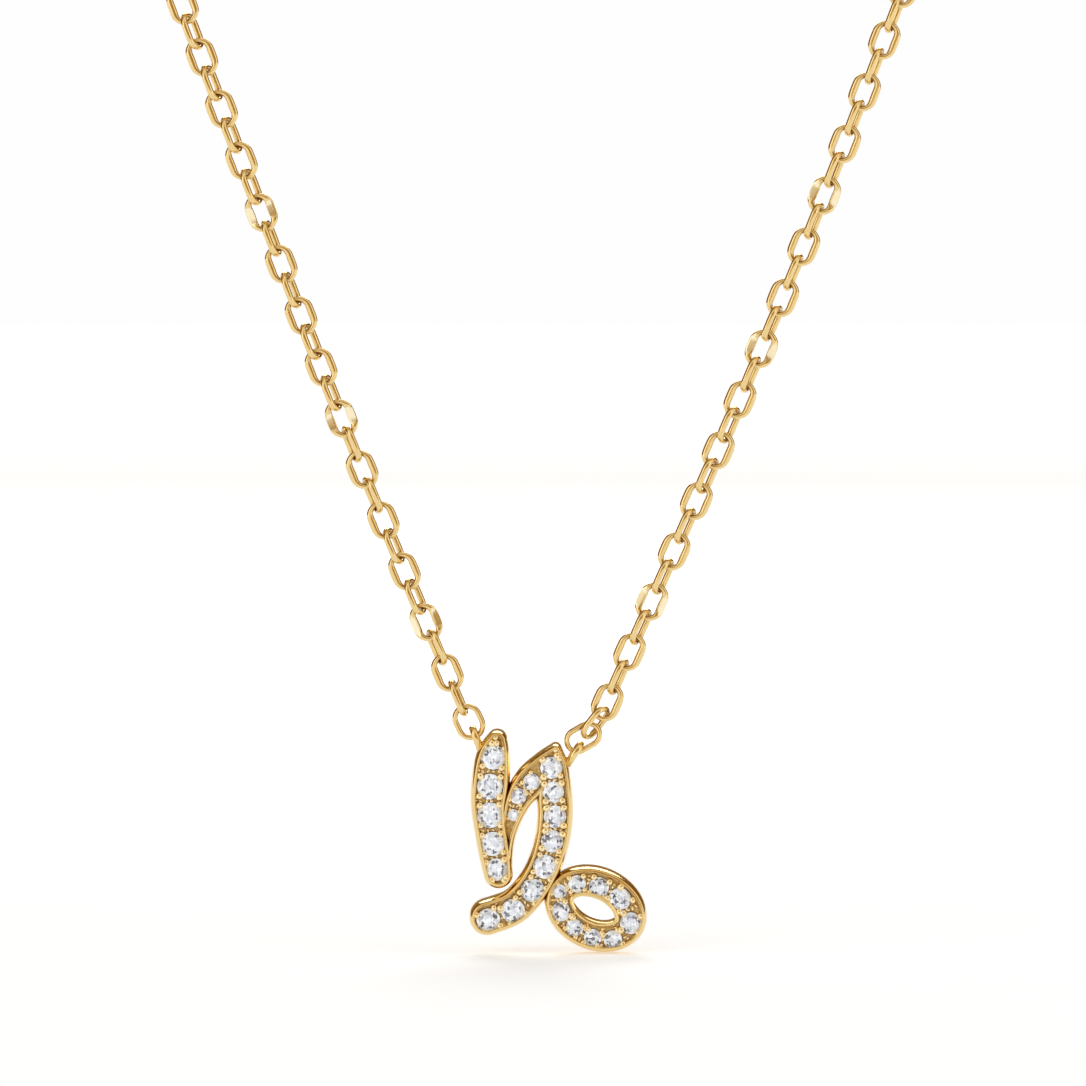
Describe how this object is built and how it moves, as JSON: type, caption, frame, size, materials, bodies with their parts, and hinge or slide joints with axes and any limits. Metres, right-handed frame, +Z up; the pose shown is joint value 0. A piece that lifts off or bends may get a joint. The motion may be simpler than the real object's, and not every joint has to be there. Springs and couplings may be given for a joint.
{
  "type": "zodiac pendant necklace",
  "caption": "Fine gold cable chain necklace with a small pendant shaped as a flowing zodiac sign, its sunk floors paved with round stones and hung from two bails.",
  "frame": {"origin": "on the neck's axis, level with the clasp at the nape of the worn necklace", "axes": "+Z up, +X to the viewer's right, the pendant hangs in front at -Y facing -Y"},
  "size_m": [0.0927, 0.1073, 0.1447],
  "materials": {
    "pendant_gold": "polished yellow gold, with bright-cut floors between the stones",
    "stones": "faceted, colourless and sparkling",
    "chain_gold": "polished yellow gold, with a few links cut flat and bright"
  },
  "bodies": {
    "necklace": {"chain_left": "chain_gold", "chain_right": "chain_gold", "back_chain_left": "chain_gold", "back_chain_right": "chain_gold", "clasp": "chain_gold"},
    "pendant": {"setting": "pendant_gold", "stone_leaf_1": "stones", "stone_leaf_2": "stones", "stone_leaf_3": "stones", "stone_leaf_4": "stones", "stone_leaf_5": "stones", "stone_arch_1": "stones", "stone_arch_2": "stones", "stone_arch_3": "stones", "stone_stem_1": "stones", "stone_stem_2": "stones", "stone_stem_3": "stones", "stone_stem_4": "stones", "stone_stem_5": "stones", "stone_stem_6": "stones", "stone_stem_7": "stones", "stone_stem_8": "stones", "stone_loop_1": "stones", "stone_loop_2": "stones", "stone_loop_3": "stones", "stone_loop_4": "stones", "stone_loop_5": "stones", "stone_loop_6": "stones", "stone_loop_7": "stones", "stone_loop_8": "stones", "stone_loop_9": "stones"}
  },
  "joints": [
    {"name": "pendant_swing", "type": "hinge", "parent": "necklace", "child": "pendant", "pos_m": [-0.00321, -0.062, -0.13167], "axis": [0.9891, 0, -0.1472], "range_deg": [-60, 60]}
  ]
}
